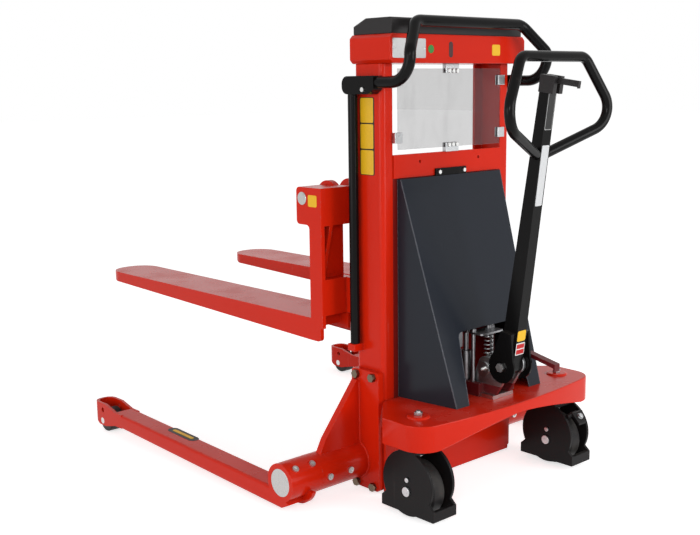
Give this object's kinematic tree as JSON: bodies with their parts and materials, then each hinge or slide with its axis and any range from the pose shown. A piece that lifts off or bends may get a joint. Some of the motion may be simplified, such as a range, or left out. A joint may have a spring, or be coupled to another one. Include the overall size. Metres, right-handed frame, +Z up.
{
  "type": "hand pallet stacker",
  "caption": "Hand-pumped straddle stacker: mast with lifting forks, width-adjustable straddle legs on rollers, pumping tiller and swivel castors with foot guards.",
  "frame": {"origin": "on the floor, under the middle of the rest-pose bounding box", "axes": "+X towards the fork tips, +Y to the truck's left, +Z up"},
  "size_m": [1.7474, 1.102, 1.289],
  "materials": {
    "red_paint": "semi-gloss powder coat",
    "black_paint": "satin powder coat",
    "black_plastic": "moulded, fine grain",
    "anthracite_paint": "semi-gloss powder coat",
    "dark_red_paint": "semi-gloss",
    "clear_screen": "clear polycarbonate",
    "zinc": "zinc plated",
    "bright_steel": "turned or drawn steel",
    "chrome_rod": "hard chrome",
    "grey_paint": "satin",
    "wheel_tread": "polyurethane tread"
  },
  "bodies": {
    "base": {"mast_upright_left": "red_paint", "mast_upright_right": "red_paint", "top_beam": "red_paint", "top_cap": "black_plastic", "mid_beam": "red_paint", "guard_screen": "clear_screen", "screen_clamps": "zinc", "push_bar": "black_paint", "push_bar_mounts": "black_paint", "guard_post_left": "black_paint", "guard_post_right": "black_paint", "mast_foot": "red_paint", "back_plate": "red_paint", "base_platform": "red_paint", "castor_kingpins": "zinc", "leg_bracket_left": "red_paint", "leg_bracket_right": "red_paint", "lift_cylinder": "grey_paint", "chain_fixed_run": "bright_steel", "pump_body": "black_paint", "spring_bridge": "zinc", "pump_spring": "zinc", "pump_cover": "anthracite_paint", "cover_hook": "black_paint", "lowering_valve": "zinc", "oil_pipe": "zinc", "mast_fasteners": "zinc"},
    "lift_rod": {"piston_rod": "chrome_rod", "chain_head": "black_paint", "chain_wrap": "bright_steel", "chain_carriage_run": "bright_steel"},
    "pulleys": {"chain_pulleys": "bright_steel"},
    "carriage": {"carriage_frame": "red_paint", "fork_bar": "bright_steel"},
    "upper_rollers": {"mast_rollers_upper": "bright_steel"},
    "lower_rollers": {"mast_rollers_lower": "bright_steel"},
    "fork_left": {"fork_left": "red_paint"},
    "fork_right": {"fork_right": "red_paint"},
    "leg_left": {"leg_left": "red_paint", "straddle_bar_left": "bright_steel", "leg_fasteners_left": "zinc"},
    "leg_right": {"leg_right": "red_paint", "straddle_bar_right": "bright_steel", "leg_fasteners_right": "zinc"},
    "load_roller_left": {"load_roller_left": "wheel_tread"},
    "load_roller_right": {"load_roller_right": "wheel_tread"},
    "castor_left": {"castor_housing_left": "black_paint", "castor_axle_left": "zinc"},
    "castor_right": {"castor_housing_right": "black_paint", "castor_axle_right": "zinc"},
    "castor_wheel_left": {"castor_wheel_left": "wheel_tread"},
    "castor_wheel_right": {"castor_wheel_right": "wheel_tread"},
    "castor_brake": {"castor_brake": "black_paint"},
    "tiller": {"tiller_tube": "black_paint", "press_roller": "bright_steel", "handle_loop": "black_paint", "control_head": "black_plastic"},
    "control_lever": {"control_lever": "black_plastic"},
    "plunger": {"pump_plunger": "bright_steel"},
    "pedal": {"foot_pedal": "dark_red_paint"}
  },
  "joints": [
    {"name": "lift", "type": "slide", "parent": "base", "child": "lift_rod", "axis": [0, 0, 1], "range_m": [-0.195, 0.2], "deforming": ["chain_fixed_run"]},
    {"name": "carriage_lift", "type": "slide", "parent": "lift_rod", "child": "carriage", "axis": [0, 0, 1], "range_m": [-0.195, 0.2], "deforming": ["chain_carriage_run"]},
    {"name": "pulley_spin", "type": "hinge", "parent": "lift_rod", "child": "pulleys", "pos_m": [-0.384, 0, 0.828], "axis": [0, -1, 0], "range_deg": [-330, 330]},
    {"name": "upper_rollers_spin", "type": "hinge", "parent": "carriage", "child": "upper_rollers", "pos_m": [-0.389, 0, 0.705], "axis": [0, -1, 0], "range_deg": [-560, 560]},
    {"name": "lower_rollers_spin", "type": "hinge", "parent": "carriage", "child": "lower_rollers", "pos_m": [-0.389, 0, 0.47], "axis": [0, -1, 0], "range_deg": [-560, 560]},
    {"name": "fork_left_shift", "type": "slide", "parent": "carriage", "child": "fork_left", "axis": [0, 1, 0], "range_m": [-0.058, 0]},
    {"name": "leg_left_width", "type": "slide", "parent": "base", "child": "leg_left", "axis": [0, 1, 0], "range_m": [0, 0.09]},
    {"name": "load_roller_left_spin", "type": "hinge", "parent": "leg_left", "child": "load_roller_left", "pos_m": [0.583, 0.5165, 0.038], "axis": [0, 1, 0], "continuous": true},
    {"name": "castor_left_swivel", "type": "hinge", "parent": "base", "child": "castor_left", "pos_m": [-0.6065, 0.292, 0.18], "axis": [0, 0, 1], "continuous": true},
    {"name": "castor_left_spin", "type": "hinge", "parent": "castor_left", "child": "castor_wheel_left", "pos_m": [-0.6065, 0.292, 0.075], "axis": [0, 1, 0], "continuous": true},
    {"name": "fork_right_shift", "type": "slide", "parent": "carriage", "child": "fork_right", "axis": [0, -1, 0], "range_m": [-0.058, 0]},
    {"name": "leg_right_width", "type": "slide", "parent": "base", "child": "leg_right", "axis": [0, -1, 0], "range_m": [0, 0.09]},
    {"name": "load_roller_right_spin", "type": "hinge", "parent": "leg_right", "child": "load_roller_right", "pos_m": [0.583, -0.5165, 0.038], "axis": [0, 1, 0], "continuous": true},
    {"name": "castor_right_swivel", "type": "hinge", "parent": "base", "child": "castor_right", "pos_m": [-0.6065, -0.292, 0.18], "axis": [0, 0, 1], "continuous": true},
    {"name": "castor_right_spin", "type": "hinge", "parent": "castor_right", "child": "castor_wheel_right", "pos_m": [-0.6065, -0.292, 0.075], "axis": [0, 1, 0], "continuous": true},
    {"name": "brake_press", "type": "hinge", "parent": "castor_right", "child": "castor_brake", "pos_m": [-0.6725, -0.292, 0.158], "axis": [0, -1, 0], "range_deg": [0, 10]},
    {"name": "tiller_pump", "type": "hinge", "parent": "base", "child": "tiller", "pos_m": [-0.67, 0, 0.362], "axis": [0, -1, 0], "range_deg": [0, 40], "stiffness_Nm_per_rad": 40, "springref_deg": -25.78},
    {"name": "plunger_stroke", "type": "slide", "parent": "base", "child": "plunger", "axis": [0, 0, 1], "range_m": [0, 0.0342], "deforming": ["pump_spring"]},
    {"name": "lever_press", "type": "hinge", "parent": "tiller", "child": "control_lever", "pos_m": [-0.80212, 0, 1.11983], "axis": [0, -1, 0], "range_deg": [-12, 12]},
    {"name": "pedal_press", "type": "hinge", "parent": "base", "child": "pedal", "pos_m": [-0.628, -0.066, 0.322], "axis": [0, -1, 0], "range_deg": [0, 10], "stiffness_Nm_per_rad": 4, "springref_deg": -28.65}
  ],
  "couplings": [
    {"joint": "carriage_lift", "follows": "lift", "ratio": 1},
    {"joint": "pulley_spin", "follows": "lift", "rad_per_m": 27.778},
    {"joint": "upper_rollers_spin", "follows": "lift", "rad_per_m": 45.872},
    {"joint": "lower_rollers_spin", "follows": "lift", "rad_per_m": 45.872},
    {"joint": "plunger_stroke", "follows": "tiller_pump", "m_per_rad": 0.048991}
  ]
}
